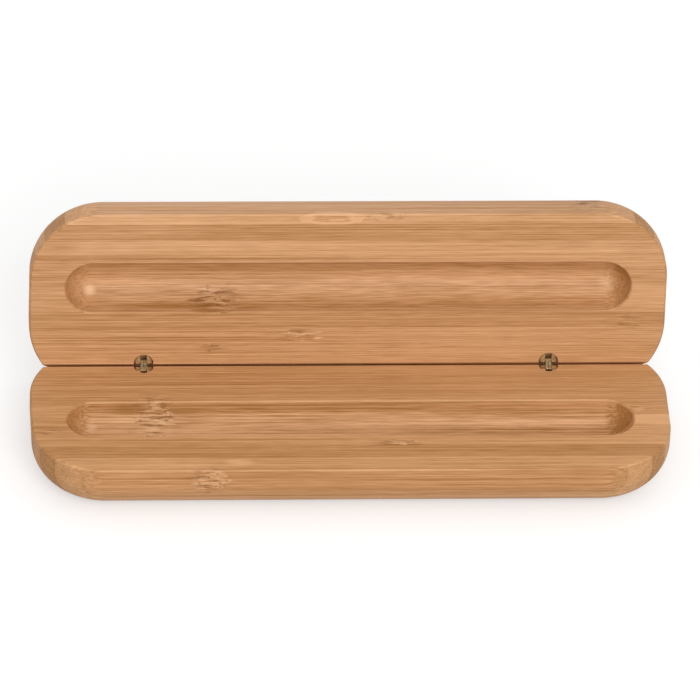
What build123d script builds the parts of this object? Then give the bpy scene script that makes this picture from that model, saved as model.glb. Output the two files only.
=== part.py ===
from build123d import *
import math
import os

# A bamboo pen case: two equal half shells, each with a round pen groove, held by two
# brass barrel hinges. It stands on the underside of the base with its lid open.
# X runs along the case, the front faces -Y and the hinges are at +Y. Z is up from the surface.

# Shells, in millimetres
case_length = 178.0
case_width = 51.0
shell_height = 16.2
seam_gap = 0.3              # between the mating faces when the case is closed
outer_round = 11.7          # big rounding of the outer edges
corner_radius = 20.5        # front corners of the outline
side_radius = 23.4          # the ends curve in towards the hinges
side_start = 12.7           # where that curve starts, measured from the seam
back_bevel = 3.2            # the mating faces stop this far short of the back wall
back_round = 1.5            # along the lower edge of the back wall
mating_bevel = 0.5          # outer edges of the mating face; its back edge stays sharp

# Pen groove, cut with a ball-nosed tool
groove_length = 158.0
groove_radius = 7.8
groove_forward = 0.4        # groove centre, forward of the middle of the mating face
rim_bevel = 0.4

# Opening of the lid
open_angle = 97.0           # from closed to the hinges' stop, in degrees
open_gap = 0.7              # between the two bevels at the stop

# Barrel hinges
hinge_spacing = 113.6
barrel_diameter = 5.2
barrel_length = 9.5
barrel_bevel = 0.5          # around its slotted end
glue_gap = 0.15             # around each barrel and under it
barrel_recess = 0.15        # barrel ends below the wood
pin_depth = 1.1             # pin centres below the mating face
pin_diameter = 0.9
pin_clearance = 0.05
slot_width = 1.8
slot_floor_gap = 0.3
leaf_count = 2
leaf_thickness = 0.75
leaf_width = 1.7

# What follows from the sizes above
mating_z = shell_height
seam_z = shell_height + seam_gap / 2
back_y = case_width / 2
seam_y = back_y - back_bevel
half_turn = open_angle / 2
pin_to_seam = pin_depth + seam_gap / 2
pin_to_bevel = pin_to_seam - open_gap / 2
turn_sin = math.sin(math.radians(half_turn))
turn_cos = math.cos(math.radians(half_turn))
pin_y = seam_y - (pin_to_bevel - pin_depth * turn_cos) / turn_sin
base_pin_z = mating_z - pin_depth
lid_pin_z = mating_z + seam_gap + pin_depth
base_pin_axis = Axis((0, pin_y, base_pin_z), (1, 0, 0))
lid_pin_axis = Axis((0, pin_y, lid_pin_z), (1, 0, 0))
groove_y = (seam_y - case_width / 2) / 2 - groove_forward
hinge_places = {"left": -hinge_spacing / 2, "right": hinge_spacing / 2}


def outline():
    """Outline of the block that a shell is made from, before its back is sawn off."""
    half_length = case_length / 2
    front_y = -case_width / 2
    curve_y = seam_y - side_start
    corner = CenterArc((half_length - corner_radius, front_y + corner_radius), corner_radius, 270, 90)
    end = Line((half_length, front_y + corner_radius), (half_length, curve_y))
    side = CenterArc((half_length - side_radius, curve_y), side_radius, 0, 90)
    right = [corner, end, side]
    left = [mirror(piece, about=Plane.YZ) for piece in right]
    front = Line(left[0] @ 0, corner @ 0)
    back = Line(left[2] @ 1, side @ 1)
    return make_face(Curve() + [front, back] + right + left)


def bevel_wedge(offset=0.0):
    """Everything above the bevel that lets the lid lean back, moved in by an offset."""
    reach = case_width
    normal = Vector(0, turn_sin, turn_cos)
    corner = Vector(0, pin_y, base_pin_z) + normal * (pin_to_bevel - offset)
    along = Vector(0, turn_cos, -turn_sin)
    points = [corner - along * reach, corner + along * reach]
    points += [points[1] + normal * reach, points[0] + normal * reach]
    side = Plane.YZ * Polyline([(point.Y, point.Z) for point in points], close=True)
    return extrude(make_face(side), case_length, both=True)


def pen_groove():
    """A round-bottomed groove with ball ends, as deep as its radius, and its bevelled rim."""
    half_straight = groove_length / 2 - groove_radius
    tool = Cylinder(groove_radius, 2 * half_straight, rotation=(0, 90, 0))
    for end in (-half_straight, half_straight):
        tool += Pos(end, 0, 0) * Sphere(groove_radius)
    rim = SlotCenterToCenter(2 * half_straight, 2 * (groove_radius + rim_bevel))
    tool += extrude(rim, -2 * rim_bevel, taper=45)
    return Pos(0, groove_y, mating_z) * tool


def barrel_hole(x):
    radius = barrel_diameter / 2 + glue_gap
    depth = barrel_recess + barrel_length + glue_gap
    hole = Cylinder(radius, depth + shell_height, align=(Align.CENTER, Align.CENTER, Align.MIN))
    return Pos(x, pin_y, mating_z - depth) * hole


def behind_back():
    """Everything behind the back wall and its rounded lower edge."""
    reach = case_width
    rounding = CenterArc((back_y - back_round, back_round), back_round, 270, 90)
    points = [rounding @ 1, (back_y, reach), (back_y + reach, reach)]
    points += [(back_y + reach, -reach), (back_y - back_round, -reach), rounding @ 0]
    side = Plane.YZ * make_face(Curve() + [rounding, Polyline(points)])
    return extrude(side, case_length, both=True)


def shell():
    """One half of the case, lying on its outer face with its mating face up."""
    block = extrude(outline(), shell_height)
    block = fillet(block.edges().group_by(Axis.Z)[0], outer_round)
    block = block - behind_back() - bevel_wedge()
    mating_edges = block.edges().group_by(Axis.Z)[-1].sort_by(Axis.Y)
    block = chamfer(mating_edges[:-1], mating_bevel)
    block -= pen_groove()
    for x in hinge_places.values():
        block -= barrel_hole(x)
    return block.solid()


def barrel(x):
    """A slotted brass barrel, its end cut back to follow the wood around it."""
    radius = barrel_diameter / 2
    top = mating_z - barrel_recess
    place = Pos(x, pin_y, top - barrel_length)
    body = place * Cylinder(radius, barrel_length, align=(Align.CENTER, Align.CENTER, Align.MIN))
    body = chamfer(body.edges().group_by(Axis.Z)[-1], barrel_bevel)
    body -= bevel_wedge(barrel_recess)
    slot_depth = pin_depth - barrel_recess + leaf_width / 2 + slot_floor_gap
    slot = Box(slot_width, 2 * barrel_diameter, 2 * slot_depth)
    body -= Pos(x, pin_y, top) * slot
    body -= Pos(x, pin_y, base_pin_z) * Cylinder(pin_diameter / 2, barrel_diameter, rotation=(0, 90, 0))
    return body.solid()


def pin(x):
    length = 2 * math.sqrt((barrel_diameter / 2) ** 2 - (pin_diameter / 2) ** 2) - 2 * pin_clearance
    return Pos(x, pin_y, base_pin_z) * Cylinder(pin_diameter / 2, length, rotation=(0, 90, 0)).solid()


def leaf(x):
    """One flat link leaf, from the pin in the base up to the pin in the closed lid."""
    span = lid_pin_z - base_pin_z
    profile = SlotCenterToCenter(span, leaf_width, rotation=90)
    for end in (-span / 2, span / 2):
        profile -= Pos(0, end) * Circle(pin_diameter / 2 + pin_clearance)
    upright = extrude(Plane.YZ * profile, leaf_thickness / 2, both=True)
    return (Pos(x, pin_y, (base_pin_z + lid_pin_z) / 2) * upright).solid()


def leaf_places(x):
    """Middles of the leaves, spread evenly across the slot."""
    pitch = leaf_thickness + (slot_width - leaf_count * leaf_thickness) / (leaf_count + 1)
    return [x + (index - (leaf_count - 1) / 2) * pitch for index in range(leaf_count)]


def turned_over(piece):
    """The same piece in the closed lid: both halves of the case are alike."""
    return piece.rotate(Axis((0, 0, seam_z), (0, 1, 0)), 180)


def open_link(piece):
    return piece.rotate(base_pin_axis, -half_turn)


def open_lid(piece):
    return open_link(piece.rotate(lid_pin_axis, -half_turn))


def all_nodes():
    nodes = {"base_shell": shell()}
    nodes["lid_shell"] = open_lid(turned_over(shell()))
    for side, x in hinge_places.items():
        nodes[side + "_base_barrel"] = barrel(x)
        nodes[side + "_base_pin"] = pin(x)
        nodes[side + "_lid_barrel"] = open_lid(turned_over(barrel(-x)))
        nodes[side + "_lid_pin"] = open_lid(turned_over(pin(-x)))
        for number, leaf_x in enumerate(leaf_places(x), 1):
            nodes[side + "_leaf_" + str(number)] = open_link(leaf(leaf_x))
    return nodes


def main():
    os.makedirs("parts", exist_ok=True)
    nodes = all_nodes()
    for name, solid in nodes.items():
        solid.label = name
        export_step(solid, "parts/" + name + ".step")
    for name in ("left_base_pin", "left_lid_pin"):
        middle = nodes[name].center()
        print(name, "at y", round(middle.Y, 4), "z", round(middle.Z, 4))
    print("seam edge at y", round(seam_y, 4), "groove middle at y", round(groove_y, 4))


if __name__ == "__main__":
    main()
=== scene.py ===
import math
from collections import namedtuple

import bpy
from mathutils import Matrix, Vector

# Looks of an open bamboo pen case: laminated bamboo shells and brass barrel hinges.
# Everything is in metres in the part's own frame: X along the case, the front faces -Y, Z up.

# Camera: a long lens, from the front and a little to the left
camera_target = (0.00107, 0.02487, 0.01972)
camera_distance = 2.846
camera_elevation = 37.06
camera_turn = 4.86
camera_roll = 2.69
lens_mm = 522.7
sensor_mm = 36.0
clip_end = 20.0

# Studio
floor_size = 6.0
floor_colour = (0.62, 0.62, 0.62)
floor_lift = 0.46
sky_strength = 0.70
key_size = 1.2
key_place = (0.25, -1.7, 1.2)
key_power = 22.0
top_size = 2.0
top_place = (0.3, 0.5, 2.0)
top_power = 1.5

# The two halves: a point on each seam edge, how many degrees each has turned from lying closed, and
# on which side of its mating face the wood lies in the closed case (1 above, -1 below)
mm_per_metre = 1000.0
base_seam = (0.0, 0.0223, 0.0162)
base_lean = 0.0
base_side = -1
lid_seam = (0.0, 0.022824, 0.016664)
lid_lean = 97.0
lid_side = 1

# The wood's patterns lie in millimetres along the case from its middle, across the mating face from
# its seam edge, and below that face. Their scales are per millimetre, in the same order.
face_width = 48.0

# Bamboo strips: where they join, how light each strip is, and how much lighter it gets to the right
strip_low = -1.0
strip_high = 2.0
base_joins = (3.1, 8.4, 12.6, 17.7, 22.8, 27.5, 32.1, 36.5, 41.7, 46.4)
base_tones = (1.05, 0.96, 0.96, 1.00, 1.03, 1.20, 0.98, 1.06, 0.84, 1.08, 0.94)
base_tilts = (0.0, 0.0, 0.0, 0.15, -0.1, 0.4, 0.2, 0.13, 0.0, 0.0, 0.0)
lid_joins = (2.0, 6.6, 11.6, 16.2, 20.8, 25.4, 30.7, 34.8, 39.3, 44.5)
lid_tones = (1.07, 1.00, 0.95, 0.86, 0.99, 1.06, 0.93, 0.98, 1.15, 0.87, 1.13)
lid_tilts = (0.0, 0.0, 0.0, -0.1, 0.0, 0.05, -0.05, 0.17, 0.0, 0.0, 0.0)
tilt_length = 170.0
tone_offset = 0.5
join_half_width = 0.3
join_darker = 0.10
join_scale = (0.05, 0.3, 0.3)
join_uneven_range = (0.3, 0.7)
join_uneven = 2.0
base_dark = (0.352, 0.152, 0.036)
base_light = (0.740, 0.402, 0.192)
lid_dark = (0.366, 0.160, 0.042)
lid_light = (0.760, 0.420, 0.214)

# Fibres: streaks along the case, with other strengths and short dashes where the groove cuts them
groove_middle = 24.3
groove_reach = 8.2
groove_fade = 1.0
groove_top = 0.2
groove_bottom = 2.0
long_scale = (0.012, 2.3, 2.3)
short_scale = (0.12, 2.8, 2.8)
broad_scale = (0.008, 0.7, 0.7)
dash_scale = (0.14, 3.6, 3.6)
drift_scale = (0.015, 0.0, 0.0)
drift_spread = 90.0
unscaled = (1.0, 1.0, 1.0)
coarse_detail = 1.0
noise_middle = 0.5
long_gain = 1.3
short_gain = 0.8
broad_gain = 0.45
drift_gain = 0.35
base_groove_gain = 1.35
lid_groove_gain = 0.75
base_dash_gain = 0.4
lid_dash_gain = 1.0

# End grain: how squarely a surface cuts the fibres, from none to all, and what shows there
end_starts = 0.25
end_whole = 0.6
end_gain = 0.35
end_darker = 0.12
pore_scale = (0.08, 1.7, 1.7)
pore_size = 0.34
pore_core = 0.14
pore_depth = 0.2
speckle_scale = (0.1, 3.0, 3.0)
speckle_gain = 0.9

# Knots, where a strip was cut through a joint of the cane. Each row has a middle, then length, width
# and depth, then how much lighter and how much darker the wood is in places.
base_knots = (
    ((-54.5, 19.0, 3.0), (12.0, 14.0, 17.0), 0.8, 1.0),
    ((-40.0, 47.8, 4.0), (11.5, 6.0, 10.5), 0.7, 1.0),
    ((-84.0, 29.8, 0.0), (7.0, 3.4, 4.0), 0.4, 0.6),
    ((81.0, 20.2, 0.0), (6.0, 4.0, 4.0), 0.6, 0.5),
    ((12.5, 35.2, 0.0), (13.0, 3.0, 3.0), 0.9, 0.7),
)
lid_knots = (
    ((-37.0, 18.6, 4.0), (16.0, 8.0, 11.0), 0.4, 1.0),
    ((-38.0, 5.4, 0.0), (7.0, 3.0, 3.0), 0.2, 0.8),
    ((-13.5, 9.3, 0.0), (15.0, 5.0, 3.0), 1.0, 0.55),
    ((9.5, 47.0, 0.0), (13.0, 3.4, 3.0), 0.6, 0.5),
    ((66.5, 46.0, 8.0), (10.0, 9.0, 16.0), 0.1, 1.0),
    ((78.0, 13.2, 0.0), (8.0, 6.0, 3.0), 0.2, 0.6),
)

# What shows in a knot: an uneven outline, pale and dark bands, small holes, and tails past its ends
knot_detail = 3.0
wobble_scale = (0.3, 1.0, 1.0)
wobble_gain = 2.6
band_scale = (0.19, 1.2, 1.2)
band_rough = 0.6
band_distortion = 0.5
band_dark = (0.49, 0.42)
band_light = (0.52, 0.62)
hole_scale = (0.6, 0.9, 0.9)
hole_size = 0.3
hole_core = 0.14
tail_scale = (0.07, 1.3, 1.3)
tail_range = (0.52, 0.66)
tail_strength = 0.6
tail_length = 1.8
knot_core = 0.3
knot_strength = 0.8
knot_light = (0.80, 0.49, 0.27)
knot_dark = (0.21, 0.08, 0.014)

# Plain patches, as middle, size and how much darker, or lighter where that is below zero: stains, and
# in the rows marked below painted shade or a painted highlight
base_stains_and_painted_light = (
    # painted shade: a dark band just under the far rim of the groove
    ((0.0, 16.6, 1.6), (175.0, 1.9, 4.4), 0.38),
    # painted highlight: a light line along the far rim of the groove
    ((0.0, 16.0, 0.1), (176.0, 1.0, 1.1), -0.35),
    ((0.0, 22.0, 6.8), (160.0, 7.0, 5.0), -0.2),
    ((32.0, 18.9, 5.6), (110.0, 2.2, 2.0), -0.3),
    ((50.0, 17.4, 3.5), (66.0, 1.3, 2.4), 0.3),
    ((-22.0, 20.9, 7.0), (60.0, 3.0, 2.0), 0.28),
    ((0.0, 48.0, 9.0), (190.0, 4.0, 22.0), 0.08),
    ((13.0, 36.4, 0.0), (18.0, 0.8, 3.0), 0.6),
    ((-32.0, 43.8, 0.0), (10.0, 3.4, 4.0), -0.35),
    ((-39.5, 47.6, 1.0), (9.0, 2.0, 3.0), -0.4),
    ((-62.0, 17.0, 2.4), (15.0, 1.8, 3.0), 0.3),
    ((-46.0, 18.0, 4.0), (20.0, 3.4, 6.0), 0.25),
    # painted shade: the right end of the groove darker
    ((75.5, 20.5, 4.5), (9.0, 13.0, 11.0), 0.42),
    ((-76.0, 20.0, 4.0), (9.0, 13.0, 11.0), 0.2),
)
lid_stains_and_painted_light = (
    # painted shade: the lower wall of the groove darker
    ((0.0, 17.2, 3.0), (175.0, 4.0, 8.0), 0.2),
    ((-39.5, 16.7, 1.0), (11.0, 1.3, 2.6), 0.5),
    ((-50.0, 17.6, 3.0), (28.0, 2.4, 4.0), 0.25),
    ((-82.0, 37.0, 0.0), (16.0, 6.0, 4.0), 0.25),
    ((82.0, 37.0, 0.0), (16.0, 6.0, 4.0), 0.15),
    # painted shade: the right end of the groove darker
    ((76.5, 24.0, 4.0), (8.0, 20.0, 12.0), 0.25),
    ((46.0, 21.6, 7.3), (64.0, 3.6, 2.0), -0.25),
    ((-22.0, 22.2, 7.5), (44.0, 3.4, 2.0), 0.25),
)
patch_wobble_scale = (0.06, 1.6, 1.6)
patch_wobble_gain = 0.9

# A long pale eye with rings in it, as middle and size
lid_eyes = (((-5.4, 46.4, 0.0), (22.0, 4.2, 6.0)),)
eye_scale = (0.12, 1.0, 1.0)
eye_gain = 0.9
eye_core = 0.8
eye_lighter = 0.25
ring_count = 9.0
ring_range = (0.5, 0.95)
ring_darker = 0.10

# Painted highlights near the ends of the grooves, small bright places, as middle, size and strength
base_painted_highlights = (((-71.8, 19.8, 6.2), (4.4, 3.4, 3.4), 0.4),)
lid_painted_highlights = (
    ((-72.0, 20.1, 6.6), (5.0, 4.6, 4.6), 0.75),
    ((73.0, 21.4, 7.2), (7.0, 7.0, 7.0), 0.3),
)
highlight_colour = (0.88, 0.58, 0.34)
highlight_falloff = 2.0

# The outer walls carry painted light: painted shade makes the base's a little redder and darker, a
# painted sheen makes the lid's a little greyer
base_wall_painted_shade = (1.02, 0.95, 0.93)
lid_wall_painted_sheen = (0.92, 0.95, 1.03)
wall_start = 47.2

# The sawn bevel behind the seam edge has no lacquer, and its colour is warmed as painted light in the
# shaded seam gap
bevel_width = 3.2
bevel_edge = 0.2
bevel_depth = 4.0
bevel_painted_warmth = (1.08, 1.02, 0.85)

# Lacquer: how rough it is on dark and on light wood, and how much of the grain shows in relief
rough_dark = 0.62
rough_light = 0.50
rough_range = (0.2, 0.8)
lacquer_shine = 0.35
relief_strength = 0.3
relief_height = 0.00008

# Brass, dulled and darkened in places
barrel_colour = (0.60, 0.36, 0.16)
barrel_rough = (0.40, 0.60)
# The leaves are the same brass painted darker: painted shade for the slot they sit in
shaded_leaf_colour = (0.27, 0.16, 0.07)
leaf_rough = (0.35, 0.55)
tarnish_scale = (1.2, 1.2, 1.2)
tarnish_detail = 4.0
tarnish_rough = 0.6
tarnish_range = (0.4, 0.65)
tarnish_darker = 0.5
dull_range = (0.3, 0.7)
metallic = 0.65

# Numbers of the colour sockets of a mix node
mix_first = 6
mix_second = 7
mix_result = 2

# What differs between the halves
Half = namedtuple("Half", [
    "seam", "lean", "side", "joins", "tones", "tilts", "dark", "light", "wall",
    "knots", "stains", "eyes", "spots", "groove_gain", "dash_gain",
])


class Nodes:
    """A node tree with short calls for the nodes used here."""

    def __init__(self, owner, shader="Principled BSDF"):
        owner.use_nodes = True
        self.tree = owner.node_tree
        self.shader = self.tree.nodes[shader]

    def add(self, kind, **settings):
        node = self.tree.nodes.new(kind)
        for key, value in settings.items():
            setattr(node, key, value)
        return node

    def put(self, value, socket):
        """Sets a socket to another node's output, or to a plain number, vector or colour."""
        if isinstance(value, bpy.types.NodeSocket):
            self.tree.links.new(value, socket)
        else:
            socket.default_value = value

    def math(self, operation, first, second=0.0, clamp=False):
        node = self.add("ShaderNodeMath", operation=operation, use_clamp=clamp)
        self.put(first, node.inputs[0])
        self.put(second, node.inputs[1])
        return node.outputs[0]

    def vector(self, operation, first, second):
        node = self.add("ShaderNodeVectorMath", operation=operation)
        self.put(first, node.inputs[0])
        self.put(second, node.inputs[1])
        return node.outputs["Value" if operation == "DOT_PRODUCT" else "Vector"]

    def noise(self, place, scale, detail=2.0, rough=0.5, distortion=0.0):
        """Noise at a place, drawn out by a scale for each direction."""
        node = self.add("ShaderNodeTexNoise")
        self.put(self.vector("MULTIPLY", place, scale), node.inputs["Vector"])
        node.inputs["Scale"].default_value = 1.0
        node.inputs["Detail"].default_value = detail
        node.inputs["Roughness"].default_value = rough
        node.inputs["Distortion"].default_value = distortion
        return node.outputs["Fac"]

    def range(self, value, low, high, to_low=0.0, to_high=1.0):
        """Maps a value evenly from one range to another, and keeps it there."""
        node = self.add("ShaderNodeMapRange")
        self.put(value, node.inputs["Value"])
        limits = {"From Min": low, "From Max": high, "To Min": to_low, "To Max": to_high}
        for name, number in limits.items():
            node.inputs[name].default_value = number
        return node.outputs["Result"]

    def ramp(self, factor, stops, mode):
        """A grey ramp through (place, level) stops."""
        node = self.add("ShaderNodeValToRGB")
        node.color_ramp.interpolation = mode
        elements = node.color_ramp.elements
        while len(elements) < len(stops):
            elements.new(1.0)
        for element, (place, level) in zip(elements, stops):
            element.position = place
            element.color = (level, level, level, 1)
        self.put(factor, node.inputs["Fac"])
        return node.outputs["Color"]

    def mix(self, factor, first, second, blend="MIX"):
        """Mixes two colours, given as sockets or as red, green and blue."""
        node = self.add("ShaderNodeMix", data_type="RGBA", blend_type=blend)
        self.put(factor, node.inputs["Factor"])
        for colour, number in ((first, mix_first), (second, mix_second)):
            if not isinstance(colour, bpy.types.NodeSocket):
                colour = (*colour, 1)
            self.put(colour, node.inputs[number])
        return node.outputs[mix_result]

    def grey(self, value):
        """The same value in all three channels."""
        node = self.add("ShaderNodeCombineColor")
        for channel in range(3):
            self.put(value, node.inputs[channel])
        return node.outputs[0]

    def split(self, vector):
        """A vector's three numbers."""
        node = self.add("ShaderNodeSeparateXYZ")
        self.put(vector, node.inputs[0])
        return node.outputs

    def coordinates(self, kind):
        return self.add("ShaderNodeTexCoord").outputs[kind]

    def seen(self):
        """One for rays from the camera, from a reflection or through glass, zero for the rest."""
        rays = self.add("ShaderNodeLightPath").outputs
        direct = self.math("MAXIMUM", rays["Is Camera Ray"], rays["Is Glossy Ray"])
        return self.math("MAXIMUM", direct, rays["Is Transmission Ray"])


def camera():
    data = bpy.data.cameras.new("camera")
    data.lens = lens_mm
    data.sensor_width = sensor_mm
    data.clip_end = clip_end
    up_angle = math.radians(camera_elevation)
    turn = math.radians(camera_turn)
    roll = math.radians(camera_roll)
    ahead = Vector((math.sin(turn), math.cos(turn), 0))
    forward = ahead * math.cos(up_angle) - Vector((0, 0, math.sin(up_angle)))
    level = Vector((math.cos(turn), -math.sin(turn), 0))
    upright = level.cross(forward)
    right = level * math.cos(roll) + upright * math.sin(roll)
    up = upright * math.cos(roll) - level * math.sin(roll)
    place = Vector(camera_target) - forward * camera_distance
    axes = Matrix((right, up, -forward)).transposed().to_4x4()
    obj = bpy.data.objects.new("camera", data)
    obj.matrix_world = Matrix.Translation(place) @ axes
    bpy.context.scene.collection.objects.link(obj)
    bpy.context.scene.camera = obj


def area_light(name, place, size, power):
    data = bpy.data.lights.new(name, "AREA")
    data.size = size
    data.energy = power
    obj = bpy.data.objects.new(name, data)
    obj.location = place
    obj.rotation_euler = (-Vector(place)).to_track_quat("-Z", "Y").to_euler()
    bpy.context.scene.collection.objects.link(obj)


def sky():
    """Even light from all round, and plain white wherever the camera or a reflection sees it."""
    world = bpy.data.worlds.new("sky")
    bpy.context.scene.world = world
    nodes = Nodes(world, "Background")
    nodes.shader.inputs["Color"].default_value = (1, 1, 1, 1)
    strength = nodes.range(nodes.seen(), 0.0, 1.0, sky_strength, 1.0)
    nodes.put(strength, nodes.shader.inputs["Strength"])


def floor():
    """A pale floor that still shows the soft shadow of the case."""
    material = bpy.data.materials.new("floor")
    nodes = Nodes(material)
    nodes.shader.inputs["Base Color"].default_value = (*floor_colour, 1)
    nodes.shader.inputs["Roughness"].default_value = 1.0
    nodes.shader.inputs["Specular IOR Level"].default_value = 0.0
    nodes.shader.inputs["Emission Color"].default_value = (1, 1, 1, 1)
    lift = nodes.math("MULTIPLY", nodes.seen(), floor_lift)
    nodes.put(lift, nodes.shader.inputs["Emission Strength"])
    bpy.ops.mesh.primitive_plane_add(size=floor_size)
    plane = bpy.context.object
    plane.name = "floor"
    plane.data.materials.append(material)


def wood_place(nodes, half):
    """A point's place in its half, in millimetres: along, from the seam, below the mating face."""
    turned = math.radians(half.lean)
    along = Vector((1, 0, 0))
    from_seam = Vector((0, -math.cos(turned), math.sin(turned)))
    below = Vector((0, math.sin(turned), math.cos(turned))) * half.side
    point = nodes.vector("SUBTRACT", nodes.coordinates("Object"), half.seam)
    place = nodes.add("ShaderNodeCombineXYZ")
    for number, direction in enumerate((along, from_seam, below)):
        measure = nodes.vector("DOT_PRODUCT", point, direction * mm_per_metre)
        nodes.put(measure, place.inputs[number])
    return place.outputs[0]


def per_strip(nodes, from_seam, joins, values):
    """A value of its own for each glued strip, between strip_low and strip_high."""
    across = nodes.math("DIVIDE", from_seam, face_width)
    stops = []
    for start, value in zip((0.0,) + joins, values):
        stops.append((start / face_width, (value - strip_low) / (strip_high - strip_low)))
    return nodes.range(nodes.ramp(across, stops, "CONSTANT"), 0.0, 1.0, strip_low, strip_high)


def join_lines(nodes, from_seam, joins):
    """One on the thin dark lines between strips, zero elsewhere."""
    across = nodes.math("DIVIDE", from_seam, face_width)
    stops = []
    for join in joins:
        for step, level in ((-join_half_width, 0.0), (0.0, 1.0), (join_half_width, 0.0)):
            stops.append(((join + step) / face_width, level))
    return nodes.ramp(across, stops, "LINEAR")


def off_centre(nodes, place, middle, size, wobble):
    """How far out a point is in an uneven egg-shaped patch, squared: one is at its edge."""
    offset = nodes.vector("SUBTRACT", place, middle)
    scaled = nodes.vector("MULTIPLY", offset, tuple(2 / side for side in size))
    return nodes.math("ADD", nodes.vector("DOT_PRODUCT", scaled, scaled), wobble)


def blob(nodes, place, middle, size, wobble, core):
    """One in the core of an uneven egg-shaped patch, fading to zero at its edge."""
    return nodes.range(off_centre(nodes, place, middle, size, wobble), 1.0, core)


def eye(nodes, place, middle, size, wobble):
    """How much lighter the wood is in a pale eye, less at its rings."""
    distance = off_centre(nodes, place, middle, size, wobble)
    inside = nodes.range(distance, 1.0, eye_core)
    waves = nodes.math("SINE", nodes.math("MULTIPLY", distance, ring_count))
    rings = nodes.range(waves, *ring_range, eye_lighter, -ring_darker)
    return nodes.math("MULTIPLY", rings, inside)


def largest(nodes, values):
    highest = values[0]
    for value in values[1:]:
        highest = nodes.math("MAXIMUM", highest, value)
    return highest


def groove_share(nodes, from_seam, depth):
    """One on the walls of the pen groove, zero on the flat faces and outside."""
    off_middle = nodes.math("ABSOLUTE", nodes.math("SUBTRACT", from_seam, groove_middle))
    near = nodes.range(off_middle, groove_reach + groove_fade, groove_reach)
    below_face = nodes.range(depth, groove_top, groove_bottom)
    above_outside = nodes.range(depth, groove_reach + groove_fade, groove_reach)
    return nodes.math("MULTIPLY", nodes.math("MULTIPLY", near, below_face), above_outside)


def bevel_share(nodes, place):
    """One on the bevel behind the seam edge, zero elsewhere."""
    from_seam, depth = nodes.split(place)[1:]
    behind_seam = nodes.range(from_seam, 0.0, -bevel_edge)
    before_back = nodes.range(from_seam, -bevel_width, bevel_edge - bevel_width)
    near_face = nodes.range(depth, bevel_depth + bevel_edge, bevel_depth)
    return nodes.math("MULTIPLY", nodes.math("MULTIPLY", behind_seam, before_back), near_face)


def end_share(nodes):
    """One where the surface cuts squarely across the grain, zero along it."""
    facing = nodes.split(nodes.coordinates("Normal"))[0]
    return nodes.range(nodes.math("ABSOLUTE", facing), end_starts, end_whole)


def streaks(nodes, place, scale, gain, detail=2.0):
    """Noise drawn out along the grain, around zero."""
    around_zero = nodes.math("SUBTRACT", nodes.noise(place, scale, detail), noise_middle)
    return nodes.math("MULTIPLY", around_zero, gain)


def fibres(nodes, place, seed, cut, end, half):
    """Lighter and darker streaks along the strips, around zero."""
    long = streaks(nodes, place, long_scale, long_gain)
    short = streaks(nodes, place, short_scale, short_gain)
    cut_gain = nodes.range(cut, 0.0, 1.0, 1.0, half.groove_gain)
    fine = nodes.math("MULTIPLY", nodes.math("ADD", long, short), cut_gain)
    dashes = streaks(nodes, place, dash_scale, half.dash_gain, coarse_detail)
    fine = nodes.math("ADD", fine, nodes.math("MULTIPLY", dashes, cut))
    fine = nodes.math("MULTIPLY", fine, nodes.range(end, 0.0, 1.0, 1.0, end_gain))
    broad = streaks(nodes, place, broad_scale, broad_gain, coarse_detail)
    drift_place = nodes.vector("ADD", nodes.vector("MULTIPLY", place, drift_scale), seed)
    drift = streaks(nodes, drift_place, unscaled, drift_gain, coarse_detail)
    return nodes.math("ADD", fine, nodes.math("ADD", broad, drift))


def dots(nodes, place, scale, edge, core):
    """Small round dots, drawn out along the grain."""
    cells = nodes.add("ShaderNodeTexVoronoi")
    cells.inputs["Scale"].default_value = 1.0
    nodes.put(nodes.vector("MULTIPLY", place, scale), cells.inputs["Vector"])
    return nodes.range(cells.outputs["Distance"], edge, core)


def add_end_grain(nodes, place, level, end):
    """Darkens a level on end grain and gives it pores and speckle."""
    pores = nodes.math("MULTIPLY", dots(nodes, place, pore_scale, pore_size, pore_core), end)
    level = nodes.math("SUBTRACT", level, nodes.math("MULTIPLY", pores, pore_depth))
    level = nodes.math("SUBTRACT", level, nodes.math("MULTIPLY", end, end_darker))
    speckle = nodes.math("MULTIPLY", streaks(nodes, place, speckle_scale, speckle_gain), end)
    return nodes.math("ADD", level, speckle)


def add_patches(nodes, place, level, half):
    """Adds the eyes, the stains, and the painted shade and highlights to a level."""
    wobble = streaks(nodes, place, eye_scale, eye_gain)
    for middle, size in half.eyes:
        level = nodes.math("ADD", level, eye(nodes, place, middle, size, wobble))
    wobble = streaks(nodes, place, patch_wobble_scale, patch_wobble_gain)
    # some of these patches are painted shade and painted highlights, the rest stains
    for middle, size, strength in half.stains:
        stain_and_painted_light = blob(nodes, place, middle, size, wobble, 0.0)
        level = nodes.math("SUBTRACT", level, nodes.math("MULTIPLY", stain_and_painted_light, strength))
    return level


def wood_level(nodes, place, half):
    """How light the wood is, from 0 to 1, before the knots."""
    along, from_seam, depth = nodes.split(place)
    tone = per_strip(nodes, from_seam, half.joins, half.tones)
    tilt = nodes.math("MULTIPLY", per_strip(nodes, from_seam, half.joins, half.tilts), along)
    tilt = nodes.math("DIVIDE", tilt, tilt_length)
    level = nodes.math("ADD", nodes.math("SUBTRACT", tone, tone_offset), tilt)
    seed = nodes.grey(nodes.math("MULTIPLY", tone, drift_spread))
    end = end_share(nodes)
    cut = groove_share(nodes, from_seam, depth)
    level = nodes.math("ADD", level, fibres(nodes, place, seed, cut, end, half))
    uneven = nodes.range(nodes.noise(place, join_scale), *join_uneven_range, 0.0, join_uneven)
    lines = nodes.math("MULTIPLY", join_lines(nodes, from_seam, half.joins), uneven)
    level = nodes.math("SUBTRACT", level, nodes.math("MULTIPLY", lines, join_darker))
    level = add_end_grain(nodes, place, level, end)
    level = add_patches(nodes, place, level, half)
    return nodes.math("ADD", level, 0.0, clamp=True)


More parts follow.
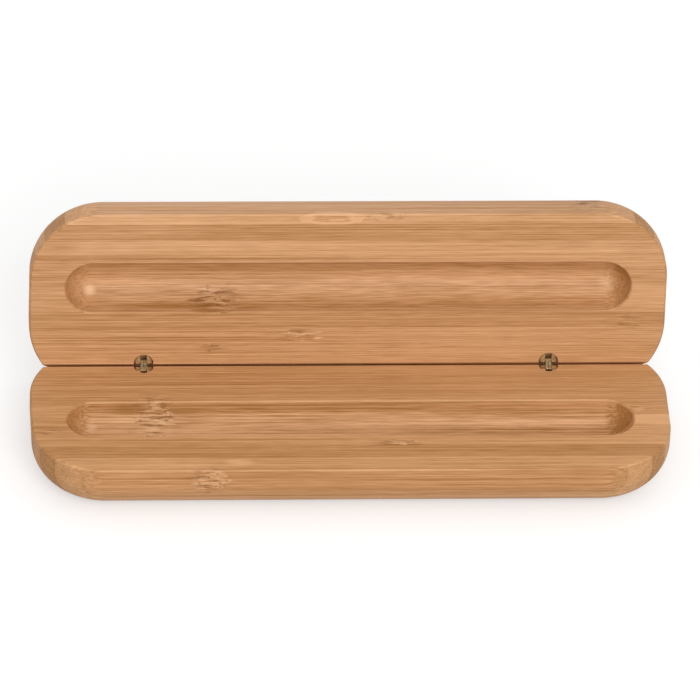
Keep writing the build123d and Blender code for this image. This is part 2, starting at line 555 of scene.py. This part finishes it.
def knots(nodes, place, half):
    """How much lighter and how much darker the knots are than the wood around them."""
    wobble = streaks(nodes, place, wobble_scale, wobble_gain, knot_detail)
    bands = nodes.noise(place, band_scale, knot_detail, band_rough, band_distortion)
    edges = nodes.range(bands, *band_dark)
    holes = dots(nodes, place, hole_scale, hole_size, hole_core)
    marks = nodes.math("MAXIMUM", edges, holes)
    tails = nodes.range(nodes.noise(place, tail_scale), *tail_range, 0.0, tail_strength)
    light = []
    dark = []
    for middle, size, lighter, darker in half.knots:
        length, width, depth = size
        share = blob(nodes, place, middle, size, wobble, knot_core)
        around = blob(nodes, place, middle, (tail_length * length, width, depth), wobble, 0.0)
        light.append(nodes.math("MULTIPLY", share, lighter))
        broken = nodes.math("MULTIPLY", share, marks)
        streaked = nodes.math("MULTIPLY", around, tails)
        dark.append(nodes.math("MULTIPLY", nodes.math("MAXIMUM", broken, streaked), darker))
    lighter_bands = nodes.range(bands, *band_light)
    return nodes.math("MULTIPLY", largest(nodes, light), lighter_bands), largest(nodes, dark)


def bamboo_colour(nodes, place, level, sawn, light, dark, half):
    """The wood's colour from how light it is, with painted shade and sheen on its outer walls, a
    warmer bevel as painted light in the seam, painted highlights and knots.
    """
    colour = nodes.mix(level, half.dark, half.light)
    # painted shade on the base's outer walls and a painted sheen on the lid's
    wall = nodes.range(nodes.split(place)[1], wall_start, face_width)
    colour = nodes.mix(wall, colour, half.wall, "MULTIPLY")
    # painted light: the bevel warmed so the shaded seam gap reads brown
    colour = nodes.mix(sawn, colour, bevel_painted_warmth, "MULTIPLY")
    # painted highlights at the ends of the grooves
    for middle, size, strength in half.spots:
        highlight = nodes.math("POWER", blob(nodes, place, middle, size, 0.0, 0.0), highlight_falloff)
        colour = nodes.mix(nodes.math("MULTIPLY", highlight, strength), colour, highlight_colour)
    colour = nodes.mix(nodes.math("MULTIPLY", light, knot_strength), colour, knot_light)
    return nodes.mix(nodes.math("MULTIPLY", dark, knot_strength), colour, knot_dark)


def bamboo(name, half):
    """Laminated bamboo under a satin lacquer."""
    material = bpy.data.materials.new(name)
    nodes = Nodes(material)
    place = wood_place(nodes, half)
    level = wood_level(nodes, place, half)
    sawn = bevel_share(nodes, place)
    light, dark = knots(nodes, place, half)
    colour = bamboo_colour(nodes, place, level, sawn, light, dark, half)
    nodes.put(colour, nodes.shader.inputs["Base Color"])
    rough = nodes.range(level, *rough_range, rough_dark, rough_light)
    nodes.put(nodes.math("MAXIMUM", rough, sawn), nodes.shader.inputs["Roughness"])
    nodes.shader.inputs["Specular IOR Level"].default_value = lacquer_shine
    bump = nodes.add("ShaderNodeBump")
    bump.inputs["Strength"].default_value = relief_strength
    bump.inputs["Distance"].default_value = relief_height
    nodes.put(nodes.math("SUBTRACT", level, dark), bump.inputs["Height"])
    nodes.put(bump.outputs[0], nodes.shader.inputs["Normal"])
    return material


def brass(name, colour, rough):
    """Plain brass. The two values of rough are for its clean and its tarnished places."""
    material = bpy.data.materials.new(name)
    nodes = Nodes(material)
    point = nodes.vector("MULTIPLY", nodes.coordinates("Object"), (mm_per_metre,) * 3)
    tarnish = nodes.noise(point, tarnish_scale, tarnish_detail, tarnish_rough)
    darker = tuple(tarnish_darker * channel for channel in colour)
    colour = nodes.mix(nodes.range(tarnish, *tarnish_range), colour, darker)
    nodes.put(colour, nodes.shader.inputs["Base Color"])
    nodes.put(nodes.range(tarnish, *dull_range, *rough), nodes.shader.inputs["Roughness"])
    nodes.shader.inputs["Metallic"].default_value = metallic
    return material


def give(obj, material):
    obj.data.materials.clear()
    obj.data.materials.append(material)


bpy.context.scene.view_settings.view_transform = "Standard"
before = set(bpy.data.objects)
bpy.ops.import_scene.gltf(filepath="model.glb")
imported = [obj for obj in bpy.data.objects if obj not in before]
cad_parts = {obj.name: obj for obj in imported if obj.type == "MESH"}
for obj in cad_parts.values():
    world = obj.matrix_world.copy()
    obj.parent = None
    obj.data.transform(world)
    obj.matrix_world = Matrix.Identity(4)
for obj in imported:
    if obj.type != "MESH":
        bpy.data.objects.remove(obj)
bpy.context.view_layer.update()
camera()
sky()
area_light("key", key_place, key_size, key_power)
area_light("top", top_place, top_size, top_power)
floor()
base = Half(
    base_seam, base_lean, base_side,
    base_joins, base_tones, base_tilts,
    base_dark, base_light, base_wall_painted_shade,
    base_knots, base_stains_and_painted_light, (), base_painted_highlights,
    base_groove_gain, base_dash_gain,
)
lid = Half(
    lid_seam, lid_lean, lid_side,
    lid_joins, lid_tones, lid_tilts,
    lid_dark, lid_light, lid_wall_painted_sheen,
    lid_knots, lid_stains_and_painted_light, lid_eyes, lid_painted_highlights,
    lid_groove_gain, lid_dash_gain,
)
give(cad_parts["base_shell"], bamboo("bamboo_base", base))
give(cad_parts["lid_shell"], bamboo("bamboo_lid", lid))
hinge_brass = brass("hinge_brass", barrel_colour, barrel_rough)
# the leaves' brass is darkened as painted shade
shaded_leaf_brass = brass("shaded_leaf_brass", shaded_leaf_colour, leaf_rough)
for name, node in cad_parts.items():
    if not name.endswith("shell"):
        give(node, shaded_leaf_brass if "leaf" in name else hinge_brass)
